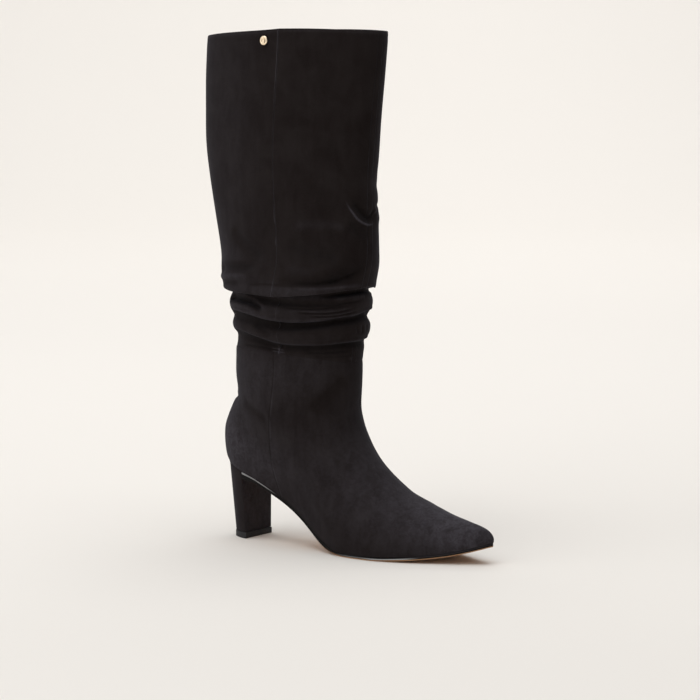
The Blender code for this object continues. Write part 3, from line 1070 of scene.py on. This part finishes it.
@dataclass
class Sculptor:
    """Presses creases into a fine skin and keeps the painted shade and highlights that go with them, with
    some wear.
    """

    skin: bpy.types.Object
    wall: WallMap
    facing: int = 1
    nap: np.ndarray = field(init=False)

    def __post_init__(self) -> None:
        self.nap = np.zeros(len(self.skin.data.vertices))

    def press(self, creases: Sequence[Crease]) -> None:
        """Presses the creases into the skin along its normals, and paints shade and highlights along them.

        Args:
            creases: the creases.
        """
        mesh = self.skin.data
        places = positions(mesh)
        out = read(mesh.vertex_normals, "vector", 3) * self.facing
        flat = self.wall.unroll(places)
        move = np.zeros(len(places))
        for crease in creases:
            line = curve_through(self.wall.unroll_line(crease.line))
            reach = REACH * max(crease.width, crease.rise_width) + abs(crease.offset)
            low, high = line.min(0) - reach, line.max(0) + reach
            near = np.all((flat > low) & (flat < high), axis=1)
            if not near.any():
                log.info("crease %s meets nothing", crease.name)
                continue
            gap, above, share = distance_to_line(flat[near], line)
            ends = smooth_step(0, crease.fade, share) * smooth_step(0, crease.fade, 1 - share)
            width = np.where(above > 0, crease.width * crease.crisp, crease.width)
            trough = np.exp(-((gap / width) ** 2)) * ends
            ridge = np.exp(-(((above - crease.offset) / crease.rise_width) ** 2)) * ends
            move[near] += (crease.rise * ridge - crease.depth * trough) * MM
            # Painted shade along the trough and painted highlight on the ridge; on stitch and tack lines,
            # thread and rubbed suede
            self.nap[near] += crease.painted_light_and_wear * trough + crease.painted_ridge_highlight * ridge
        place_vertices(mesh, places + out * move[:, None])

    def sag(self, middle: float, spread: float, drop: float, low: float, high: float) -> None:
        """Lets a band of the skin hang lower on both sides.

        Args:
            middle: share of the way round where it hangs lowest.
            spread: how wide that is, as a share.
            drop: millimetres.
            low: bottom of the band, in millimetres.
            high: top of the band, in millimetres.
        """
        soft = 12
        mesh = self.skin.data
        places = positions(mesh)
        turn = np.abs(self.wall.turn(places))
        z = places[:, 2] / MM
        window = smooth_step(low, low + soft, z) * smooth_step(high, high - soft, z)
        places[:, 2] -= drop * MM * window * np.exp(-(((turn - middle) / spread) ** 2))
        place_vertices(mesh, places)

    def tilt(self, rise: float, flatten: float, low: float, high: float) -> None:
        """Tilts the collar up at the shin, down at the back, and flattens its peaks.

        Args:
            rise: millimetres at the shin, and as far down at the back.
            flatten: millimetres that the peaks at the sides lose.
            low: height where the tilt starts, in millimetres.
            high: height of the collar, in millimetres.
        """
        mesh = self.skin.data
        places = positions(mesh)
        angle = 2 * math.pi * self.wall.turn(places)
        share = smooth_step(low, high, places[:, 2] / MM)
        places[:, 2] += (rise * np.cos(angle) - flatten * np.sin(angle) ** 2) * share * MM
        place_vertices(mesh, places)

    def drop_behind(self, seam: float, drop: float, spread: float, low: float, high: float) -> None:
        """Lowers the collar behind its side seams, so that it has a corner there.

        Args:
            seam: the seams, as shares of the way round from the shin.
            drop: millimetres where it is lowest.
            spread: share of the way round from the seam to there.
            low: height where it starts, in millimetres.
            high: height of the collar, in millimetres.
        """
        mesh = self.skin.data
        places = positions(mesh)
        behind = np.maximum(np.abs(self.wall.turn(places)) - seam, 0) / spread
        share = smooth_step(low, high, places[:, 2] / MM)
        fall = behind * np.exp(1 - behind)
        places[:, 2] -= drop * MM * fall * share
        place_vertices(mesh, places)

    def brush(self, patches: Sequence[PaintedLightPatch]) -> None:
        """Paints light, or shade where negative, in soft patches.

        Args:
            patches: the patches.
        """
        places = positions(self.skin.data) / MM
        for patch in patches:
            away = (places - np.array(patch.middle)) / np.array(patch.reach)
            self.nap += patch.amount * np.exp(-(away**2).sum(1))

    def keep(self) -> None:
        """Writes the painted light and wear, and the wrap map, to the mesh."""
        mesh = self.skin.data
        write_layer(mesh, PAINTED_LIGHT_AND_WEAR_LAYER, self.nap)
        places = positions(mesh)
        turn = self.wall.turn(places)
        corner = read(mesh.loops, "vertex_index", kind=int)
        starts = read(mesh.polygons, "loop_start", kind=int)
        here = turn[corner]
        first = np.repeat(here[starts], read(mesh.polygons, "loop_total", kind=int))
        here = here + np.round(first - here)
        uv = np.stack([here, places[corner, 2]], axis=1)
        layer = mesh.uv_layers.new(name=WRAP)
        layer.data.foreach_set("uv", uv.ravel())


# Creases above the hanging edge of the leg
LEG_CREASES = (
    Crease("smile", ((0.096, 289.5), (0.091, 286.5), (0.088, 284.1), (0.083, 281.3), (0.076, 278.3),
                     (0.065, 273.9), (0.053, 271.1), (0.040, 269.4), (0.028, 268.6), (0.012, 269.0),
                     (0.0, 270.0)),
           -1.0, 0.75, painted_light_and_wear=1.35, fade=0.34),
    Crease("smile_right", ((0.016, 272.4), (0.007, 274.7), (-0.005, 277.9), (-0.026, 281.7)), -0.6, 0.8,
           painted_light_and_wear=0.5, fade=0.3),
    Crease("smile_pocket", ((0.080, 290), (0.066, 283.5), (0.050, 278.0), (0.030, 274.2), (0.008, 276.5),
                            (-0.012, 281)), 2.4, 3.4, painted_light_and_wear=-0.45),
    Crease("smile_shade", ((0.095, 270), (0.060, 263), (0.020, 261)), 0.8, 5.0, painted_light_and_wear=-0.22),
    Crease("soft_ridge", ((0.21, 265.0), (0.168, 268), (0.125, 267.9), (0.080, 264.5)), -0.9, 4.0, painted_light_and_wear=0.12),
    Crease("trough_left", ((0.345, 264), (0.31, 250.0), (0.262, 237.0)), 1.6, 6.5, painted_light_and_wear=-0.22),
    Crease("trough_mid", ((0.225, 252), (0.16, 244.0), (0.10, 241.0)), 1.2, 7.5, painted_light_and_wear=-0.2),
    Crease("mid_ridge", ((0.22, 233), (0.16, 231.0), (0.11, 235.0)), -0.8, 5.0, painted_light_and_wear=0.08),
    Crease("above_lip", ((0.235, 221.0), (0.19, 220.8), (0.141, 221.2), (0.105, 223.0), (0.075, 226.6),
                         (0.050, 231.5), (0.028, 238.0)), 2.8, 3.0, painted_light_and_wear=-0.50, fade=0.30),
    Crease("above_lip_soft", ((0.17, 224.0), (0.11, 226.6), (0.065, 234.0), (0.03, 242.0)), 1.4, 6.5,
           painted_light_and_wear=-0.22, fade=0.4),
    Crease("above_lip_ridge", ((0.205, 216.9), (0.169, 216.6), (0.125, 217.2), (0.074, 218.8), (0.02, 220.0)),
           -0.8, 1.3, painted_light_and_wear=0.30, fade=0.3),
    Crease("above_lip_fine", ((0.30, 217.8), (0.24, 218.6), (0.18, 218.6)), 0.5, 0.8, painted_light_and_wear=-0.25),
    Crease("left_shade", ((0.43, 227.5), (0.335, 230.8), (0.275, 231.5)), 1.8, 4.2, painted_light_and_wear=-0.42),
    Crease("left_band", ((0.47, 220.0), (0.40, 222.0), (0.327, 224.0), (0.285, 224.6)), -1.0, 2.2, painted_light_and_wear=0.24),
    Crease("left_under", ((0.45, 215.0), (0.38, 217.4), (0.315, 218.2)), 0.9, 2.2, painted_light_and_wear=-0.25),
    Crease("front_hollow", ((-0.13, 306), (-0.03, 306), (0.03, 308)), 1.1, 13.0),
    Crease("front_notch", ((-0.13, 299), (-0.03, 300), (0.012, 303)), 0.5, 3.6),
    Crease("front_dip", ((-0.13, 285), (-0.04, 283.5), (0.0, 280.5)), 0.9, 2.6),
    Crease("front_bulge", ((-0.13, 273), (-0.03, 273), (0.004, 271.5)), -0.7, 4.0),
    Crease("collar_stitch", ((-0.40, 419.2), (-0.31, 420.6), (-0.25, 421.4), (-0.17, 420.8), (-0.08, 418.6),
                             (0.0, 417.6), (0.08, 418.6), (0.17, 420.8), (0.25, 421.4), (0.33, 420.8),
                             (0.42, 418.6), (0.49, 417.6)), 0.25, 0.8, painted_light_and_wear=-0.14, fade=0.01),
    Crease("collar_edge", ((-0.40, 423.4), (-0.31, 424.8), (-0.25, 425.6), (-0.17, 425.0), (-0.08, 422.6),
                           (0.0, 421.4), (0.08, 422.6), (0.17, 425.0), (0.25, 425.6), (0.33, 424.8),
                           (0.42, 422.6), (0.49, 421.4)), 0.0, 1.0, painted_light_and_wear=0.16, fade=0.01),
)
# Creases of the folds below it
SLOUCH_CREASES = (
    Crease("lip_shadow", ((0.34, 208.6), (0.289, 206.6), (0.255, 204.6), (0.207, 203.4), (0.155, 203.0),
                          (0.10, 204.0), (0.04, 207.5)), 1.6, 2.8, painted_light_and_wear=-0.55, fade=0.25),
    Crease("lip_right", ((0.135, 209.8), (0.099, 211.4), (0.074, 212.4), (0.041, 213.4), (0.0, 214.2),
                         (-0.08, 212.5)), 1.9, 1.6, painted_light_and_wear=-0.60),
    Crease("lip_ledge", ((0.105, 207.6), (0.06, 209.2), (0.0, 210.6)), -0.7, 1.4, painted_light_and_wear=0.18),
    Crease("roll_one_dent", ((0.42, 204.8), (0.334, 203.8), (0.303, 202.2), (0.285, 199.6), (0.268, 196.6)),
           3.0, 2.6, 0.8, -4.4, 2.2, -0.75, 0.15, 0.15),
    Crease("roll_one_pinch", ((0.315, 206.4), (0.288, 203.6), (0.270, 199.8), (0.262, 196.4)), -0.9, 1.2,
           painted_light_and_wear=0.18),
    Crease("roll_one_top", ((0.40, 208.6), (0.34, 208.0), (0.30, 206.4)), -0.8, 1.4, painted_light_and_wear=0.16),
    Crease("wrinkle_a", ((0.225, 200.6), (0.15, 199.8), (0.06, 203.0)), 0.9, 0.8, 0.4, 1.6, 0.8, -0.42, 0.16),
    Crease("wrinkle_b", ((0.195, 196.8), (0.13, 196.4), (0.05, 199.8)), 0.8, 0.8, 0.4, 1.6, 0.8, -0.38, 0.16),
    Crease("wrinkle_c", ((0.165, 193.8), (0.10, 194.2), (0.03, 198.0)), 0.7, 0.8, 0.3, 1.5, 0.8, -0.32, 0.14),
    Crease("wrinkle_d", ((0.140, 191.6), (0.09, 192.4), (0.04, 194.8)), 0.5, 0.7, 0.2, 1.3, 0.7, -0.25, 0.1),
    Crease("wrinkle_e", ((0.120, 201.8), (0.07, 205.0), (0.02, 206.6)), 0.7, 0.8, 0.3, 1.5, 0.8, -0.35, 0.1),
    Crease("under_roll_one", ((0.42, 192.6), (0.364, 192.2), (0.315, 190.6), (0.281, 188.2), (0.240, 186.6),
                              (0.206, 186.2), (0.177, 186.8), (0.148, 187.6), (0.099, 189.9), (0.044, 192.0),
                              (0.0, 194.2), (-0.1, 195.5)), 3.0, 4.2, 0.9, 3.4, 1.2, -0.62, 0.22, 0.1, 0.38),
    Crease("roll_two_dent", ((0.31, 185.0), (0.275, 180.5), (0.248, 176.0)), 1.2, 2.6, painted_light_and_wear=-0.25),
    Crease("roll_two_face", ((0.30, 178.5), (0.23, 176.5), (0.14, 176.5), (0.06, 179.0)), -0.4, 3.0,
           painted_light_and_wear=0.06),
    Crease("pucker_a", ((0.035, 186.5), (0.028, 178.5)), 0.7, 1.3, painted_light_and_wear=-0.1, fade=0.3),
    Crease("pucker_b", ((0.012, 187.0), (0.006, 178.5)), 0.7, 1.3, painted_light_and_wear=-0.1, fade=0.3),
    Crease("pucker_c", ((-0.012, 187.0), (-0.02, 179.5)), 0.7, 1.3, painted_light_and_wear=-0.1, fade=0.3),
    Crease("under_roll_two", ((0.42, 178.2), (0.345, 176.0), (0.300, 172.6), (0.262, 169.6), (0.235, 168.4),
                              (0.191, 168.2), (0.132, 168.8), (0.062, 170.6), (-0.03, 171.5), (-0.1, 171.5)),
           2.0, 3.6, 0.6, 3.0, 1.1, -0.55, 0.12, 0.1, 0.4),
    Crease("ankle_band_a", ((0.36, 166.8), (0.27, 165.6), (0.22, 164.2)), 0.8, 1.4, painted_light_and_wear=-0.3),
    Crease("ankle_band_b", ((0.18, 163.6), (0.12, 163.8), (0.03, 165.2)), 0.8, 1.2, painted_light_and_wear=-0.4),
    Crease("ankle_band_c", ((0.16, 161.2), (0.10, 160.6), (0.03, 161.0)), 0.4, 0.7, painted_light_and_wear=-0.22),
    Crease("tack_a", ((0.262, 165.8), (0.224, 164.8)), -0.2, 0.7, painted_light_and_wear=0.75, fade=0.15),
    Crease("tack_b", ((0.258, 163.8), (0.222, 163.0)), -0.2, 0.6, painted_light_and_wear=0.55, fade=0.15),
    Crease("tack_c", ((0.240, 169.4), (0.236, 161.0)), -0.2, 0.8, painted_light_and_wear=0.50, fade=0.15),
    Crease("tack_d", ((0.046, 158.8), (0.026, 158.6)), -0.2, 1.2, painted_light_and_wear=0.34, fade=0.3),
)
FOOT_CREASES = (
    Crease("instep_shade", ((0.045, 146.0), (0.078, 137.2), (0.102, 130.6), (0.124, 123.2), (0.155, 113.0)),
           1.1, 6.0, painted_light_and_wear=-0.13),
    Crease("heel_shade", ((0.36, 117.5), (0.303, 111.1), (0.255, 104.0)), 1.0, 5.0, painted_light_and_wear=-0.16),
    Crease("back_fold", ((0.52, 121.0), (0.46, 120.5), (0.39, 119.0)), 1.2, 2.4, painted_light_and_wear=-0.2),
    Crease("shin_dent", ((0.05, 121.0), (0.0, 119.0), (-0.05, 121.0)), 0.9, 5.0),
)
# Painted light: the back panel and the tops of the folds lighter, the front darker, as the light falls
LEG_PAINTED_LIGHT = (
    PaintedLightPatch((-96, -38, 345), (30, 22, 120), 0.10),
    PaintedLightPatch((-100, -30, 232), (36, 30, 22), 0.12),
    PaintedLightPatch((-20, -40, 214), (60, 30, 7), 0.24),
    PaintedLightPatch((-30, -40, 198), (80, 30, 12), 0.15),
    PaintedLightPatch((-60, -40, 164), (70, 30, 8), 0.10),
    PaintedLightPatch((10, -20, 330), (22, 30, 120), -0.04),
)
# Painted highlights on the toe, vamp, heel counter and ankle, where the light falls on them
FOOT_PAINTED_LIGHT = (
    PaintedLightPatch((124, 0, 24), (36, 40, 26), 0.68),
    PaintedLightPatch((75, 0, 36), (44, 44, 34), 0.46),
    PaintedLightPatch((15, -10, 64), (52, 44, 44), 0.28),
    PaintedLightPatch((-106, -18, 82), (26, 26, 28), 0.74),
    PaintedLightPatch((-66, -30, 66), (30, 26, 24), 0.34),
    PaintedLightPatch((-84, -30, 136), (44, 30, 28), 0.26),
    PaintedLightPatch((-20, -34, 148), (46, 30, 20), 0.19),
)


def other_side(creases: Sequence[Crease], shift: float = 1.6) -> tuple[Crease, ...]:
    """The creases of the inner side, which follow those of the outer one loosely.

    Args:
        creases: creases of the outer side.
        shift: how far they wander up and down, in millimetres.

    Returns:
        The larger creases, mirrored, as far as they lie well behind the shin.
    """
    small = ("smile", "pucker", "tack", "front", "collar")
    behind, waves, softest = 0.05, 18, 0.2
    made = []
    for crease in creases:
        kept = [point for point in crease.line if point[0] > behind]
        line = tuple((-turn, z + shift * math.sin(waves * turn)) for turn, z in kept)
        if len(line) > 1 and not crease.name.startswith(small):
            fade = max(crease.fade, softest)
            made.append(replace(crease, name=crease.name + "_inner", line=line, fade=fade))
    return tuple(made)


# Pieces

# Edges of the firm pieces that are sharper than this are rounded
SHARP = math.radians(50)


def dress(obj: bpy.types.Object, finish: bpy.types.Material, slot: Slot, *nodes: str) -> None:
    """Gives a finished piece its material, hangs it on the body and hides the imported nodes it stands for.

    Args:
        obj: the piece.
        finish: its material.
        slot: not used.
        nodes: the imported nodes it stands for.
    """
    obj.data.materials.clear()
    obj.data.materials.append(finish)
    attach(obj, BODY)
    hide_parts(*nodes)
    log.info("%s: %d faces", obj.name, len(obj.data.polygons))


@dataclass
class Leg:
    """The slouching leg: outside, lining.

    levels and lining_levels are subdivisions. limit parts the wall's skins. The band round the crease at the
    shin, in metres, gets rows no further apart than the last of finest.
    """

    levels: int = 3
    lining_levels: int = 2
    limit: float = math.radians(86)
    band: Pair = (262 * MM, 302 * MM)
    finest: tuple[float, ...] = (1.9 * MM, 0.95 * MM)

    def build(self) -> None:
        """Builds the leg's pieces."""
        skin = wall_skin("shaft", "leg_suede", False, self.limit)
        refine(skin, self.levels)
        for longest in self.finest:
            densify(skin, *self.band, longest)
        wall = WallMap.measure(positions(skin.data), low=166 * MM, high=420 * MM)
        self.sculpt(skin, wall, 1)
        dress(skin, Suede("leg_suede", seams=LEG_SEAMS).build(), Slot.SUEDE, "shaft")
        lining = wall_skin("shaft", "leg_lining", True, self.limit)
        refine(lining, self.lining_levels)
        self.sculpt(lining, wall, -1)
        dress(lining, LINING.build(), Slot.SUEDE, "shaft")

    def sculpt(self, skin: bpy.types.Object, wall: WallMap, facing: int) -> None:
        """Presses the leg's creases into one of its skins.

        Args:
            skin: the outside or the lining.
            wall: the leg's map.
            facing: 1 where the skin's normals point out of the leg, -1 where they point in.
        """
        sculptor = Sculptor(skin, wall, facing)
        sculptor.press(LEG_CREASES + other_side(LEG_CREASES))
        sculptor.sag(middle=0.21, spread=0.10, drop=3.0, low=158, high=212)
        sculptor.press(SLOUCH_CREASES + other_side(SLOUCH_CREASES))
        sculptor.tilt(rise=1.3, flatten=0.8, low=380, high=421)
        sculptor.drop_behind(SIDE_SEAM, drop=1.0, spread=0.06, low=385, high=421)
        sculptor.brush(LEG_PAINTED_LIGHT)
        sculptor.keep()


@dataclass(frozen=True)
class ToeDroop:
    """The slight extra droop of the toe under its own weight, in metres."""

    start: float = 84 * MM
    tip: float = 140 * MM
    drop: float = 1.3 * MM

    def bend(self, obj: bpy.types.Object) -> None:
        """Lowers the toe end of a piece.

        Args:
            obj: the piece.
        """
        places = positions(obj.data)
        share = np.clip((places[:, 0] - self.start) / (self.tip - self.start), 0, 1)
        places[:, 2] -= self.drop * share**2
        place_vertices(obj.data, places)


@dataclass
class Foot:
    """Vamp and counter with their lining.

    levels and lining_levels are subdivisions. limit parts the wall's skins. ankle is the height above which
    the foot is round enough for the wall's map.
    """

    levels: int = 3
    lining_levels: int = 1
    ankle: float = 95 * MM
    limit: float = math.radians(72)

    def build(self) -> None:
        """Builds the foot's pieces."""
        skin = wall_skin("upper", "foot_suede", False, self.limit, paired=False)
        refine(skin, self.levels)
        places = positions(skin.data)
        wall = WallMap.measure(places[places[:, 2] > self.ankle], low=104 * MM, high=150 * MM)
        sculptor = Sculptor(skin, wall)
        sculptor.press(FOOT_CREASES + other_side(FOOT_CREASES))
        sculptor.brush(FOOT_PAINTED_LIGHT)
        sculptor.keep()
        ToeDroop().bend(skin)
        dress(skin, Suede("foot_suede", foot_seam=FOOT_SEAM).build(), Slot.SUEDE, "upper")
        lining = wall_skin("upper", "foot_lining", True, self.limit, paired=False)
        refine(lining, self.lining_levels)
        ToeDroop().bend(lining)
        dress(lining, FOOT_LINING.build(), Slot.SUEDE, "upper")


@dataclass
class Bottom:
    """Sole and sock, with the slope below which a face belongs to the underside."""

    underside: float = -0.75

    def build(self) -> None:
        """Builds the sole and the sock."""
        sole = bevelled("outsole", "outsole_dressed", 0.5 * MM, SHARP, raised=0.27 * MM)
        self.measure_rim(sole)
        ToeDroop().bend(sole)
        dress(sole, PaintedEdge().build(), Slot.SOLE, "outsole")
        sole.data.materials.append(TAN_LEATHER.build())
        for polygon in sole.data.polygons:
            if polygon.normal.z < self.underside:
                polygon.material_index = 1
        sock = bevelled("insole", "sock_dressed", 0.4 * MM, SHARP)
        ToeDroop().bend(sock)
        dress(sock, SOCK_LEATHER.build(), Slot.SOCK, "insole")

    @staticmethod
    def measure_rim(sole: bpy.types.Object) -> None:
        """Writes how far up the sole's edge each vertex lies, from 0 at the underside to 1 at the top.

        Args:
            sole: the sole.
        """
        places = positions(sole.data)
        steep = 0.3
        edges = []
        for way in (-1, 1):
            sheet = {v for p in sole.data.polygons if p.normal.z * way > steep for v in p.vertices}
            line = places[sorted(sheet)]
            order = np.argsort(line[:, 0])
            edges.append(np.interp(places[:, 0], line[order, 0], line[order, 2]))
        bottom, top = edges
        share = (places[:, 2] - bottom) / np.maximum(top - bottom, MM)
        write_layer(sole.data, RIM, np.clip(share, 0, 1))


@dataclass
class Heel:
    """Covered block heel with its top piece."""

    def build(self) -> None:
        """Builds the heel's pieces."""
        block = bevelled("heel_block", "heel_dressed", 0.8 * MM, SHARP, 4)
        self.brush(block)
        dress(block, Suede("heel_suede", patch=60.0).build(), Slot.SUEDE, "heel_block")
        lift = bevelled("heel_top_piece", "top_piece_dressed", 0.6 * MM, SHARP)
        dress(lift, RUBBER.build(), Slot.TOP_PIECE, "heel_top_piece")

    @staticmethod
    def brush(block: bpy.types.Object) -> None:
        """Paints light on the heel's breast and along its back, by the way each face turns.

        Args:
            block: the covered block.
        """
        plain, breast, back = 0.04, 0.30, 0.06
        ahead = read(block.data.vertex_normals, "vector", 3)[:, 0]
        shade = plain + breast * np.clip(ahead, 0, 1) + back * np.clip(-ahead, 0, 1) ** 2
        write_layer(block.data, PAINTED_LIGHT_AND_WEAR_LAYER, shade)


@dataclass
class Trim:
    """The rivet: its rim, the slope and depth inside it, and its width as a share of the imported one."""

    rim: float = 1.1 * MM
    slope: float = 0.3 * MM
    sunk: float = 0.2 * MM
    spread: float = 0.90

    def build(self) -> None:
        """Builds the rivet with a rim round its plain face."""
        facing, sharp = 0.999, math.radians(35)
        bm = merged_copy("rivet")
        outward = max(bm.faces, key=lambda f: f.calc_area()).normal.copy()
        outward = outward if outward.y < 0 else -outward
        face = [f for f in bm.faces if f.normal.dot(outward) > facing]
        middle = sum((v.co for v in bm.verts), Vector()) / len(bm.verts)
        for vert in bm.verts:
            level = (vert.co - middle).project(outward)
            vert.co = middle + level + (vert.co - middle - level) * self.spread
        bmesh.ops.inset_region(bm, faces=face, thickness=self.rim, depth=0.0)
        bmesh.ops.inset_region(bm, faces=face, thickness=self.slope, depth=-self.sunk)
        rivet = link_mesh("rivet_dressed", bm)
        rivet.data.set_sharp_from_angle(angle=sharp)
        dress(rivet, GOLD.build(), Slot.RIVET, "rivet")


# Studio


@dataclass(frozen=True)
class Lamp:
    """A white area light. place and target are metres to the camera's right, towards it, and up."""

    name: str
    place: Triple
    target: Triple
    size: Pair
    power: float


LAMPS = (
    Lamp("key", (-1.6, 0.9, 2.0), (0.0, 0.0, 0.2), (3.2, 3.2), 28.0),
    Lamp("top", (0.0, -0.05, 3.0), (0.0, 0.0, 0.0), (3.0, 3.0), 67.0),
    Lamp("back", (0.0, -3.5, 3.4), (0.0, -5.0, 0.0), (6.0, 2.0), 118.0),
    Lamp("card", (-1.807, 0.5871, 0.44), (-0.0721, -0.0029, 0.41), (0.36, 0.36), 2.0),
)


@dataclass
class Studio:
    """Floor sweep, lights and camera."""

    azimuth: float = math.radians(36)
    distance: float = 2.2
    height: float = 0.4
    aim: Triple = (-0.0529, 0.0, 0.155)
    lens: float = 136.34
    shift: Pair = (0.0804, 0.00994)
    sensor: float = 36.0
    room: Quad = (1.0, 0.985, 0.96, 1.0)
    room_strength: float = 0.16

    def build(self) -> None:
        """Builds the studio."""
        self.sweep()
        self.camera()
        self.lights()

    def way(self) -> Vector:
        """Level direction from the boot to the camera.

        Returns:
            A unit vector.
        """
        return Vector((math.sin(self.azimuth), -math.cos(self.azimuth), 0.0))

    def sweep(self) -> None:
        """A floor that curves up into a backdrop."""
        half, front, depth, radius, rise, steps = 7.0, 6.0, 4.0, 2.0, 5.0, 24
        bm = bmesh.new()
        profile = [(-front, 0.0), (depth, 0.0)]
        for i in range(1, steps + 1):
            angle = math.pi / 2 * i / steps
            profile.append((depth + radius * math.sin(angle), radius * (1 - math.cos(angle))))
        profile.append((depth + radius, rise))
        away = -self.way()
        across = Vector((-away.y, away.x, 0.0))
        first = [bm.verts.new(away * y + Vector((0, 0, z)) - across * half) for y, z in profile]
        edges = [bm.edges.new(pair) for pair in zip(first, first[1:])]
        made = bmesh.ops.extrude_edge_only(bm, edges=edges)
        moved = [g for g in made["geom"] if isinstance(g, bmesh.types.BMVert)]
        bmesh.ops.translate(bm, vec=across * 2 * half, verts=moved)
        bmesh.ops.recalc_face_normals(bm, faces=bm.faces)
        floor = link_mesh("studio_sweep", bm)
        floor.data.materials.append(Paper(self.azimuth).build())

    def camera(self) -> None:
        """The camera at the photo's place."""
        data = bpy.data.cameras.new("camera")
        data.lens = self.lens
        data.sensor_width = self.sensor
        data.shift_x, data.shift_y = self.shift
        data.clip_start, data.clip_end = 0.05, 50.0
        eye = bpy.data.objects.new("camera", data)
        aim = Vector(self.aim)
        level = Vector((aim.x, aim.y, 0)) + self.way() * self.distance
        eye.location = (level.x, level.y, self.height)
        eye.rotation_euler = (aim - eye.location).to_track_quat("-Z", "Y").to_euler()
        bpy.context.scene.collection.objects.link(eye)
        bpy.context.scene.camera = eye

    def stand(self, place: Triple) -> Vector:
        """Turns a place as the camera sees it into one of the frame.

        Args:
            place: metres to the camera's right, towards it, and up.

        Returns:
            The place in the frame.
        """
        towards = self.way()
        right = Vector((-towards.y, towards.x, 0.0))
        return right * place[0] + towards * place[1] + Vector((0.0, 0.0, place[2]))

    def lights(self) -> None:
        """Soft studio light: a broad key from the upper left, the top, the backdrop and the room."""
        for lamp in LAMPS:
            data = bpy.data.lights.new(lamp.name, "AREA")
            data.shape = "RECTANGLE"
            data.size, data.size_y = lamp.size
            data.energy = lamp.power
            light = bpy.data.objects.new(lamp.name, data)
            light.location = self.stand(lamp.place)
            aim = self.stand(lamp.target) - light.location
            light.rotation_euler = aim.to_track_quat("-Z", "Y").to_euler()
            bpy.context.scene.collection.objects.link(light)
        world = bpy.data.worlds.new("room")
        world.use_nodes = True
        back = world.node_tree.nodes["Background"]
        back.inputs[0].default_value = self.room
        back.inputs[1].default_value = self.room_strength
        bpy.context.scene.world = world
        bpy.context.scene.view_settings.view_transform = "Standard"


def main() -> None:
    """Builds the boot, then the studio."""
    for part in (Leg(), Foot(), Bottom(), Heel(), Trim(), Studio()):
        part.build()


if __name__ == "__main__":
    main()
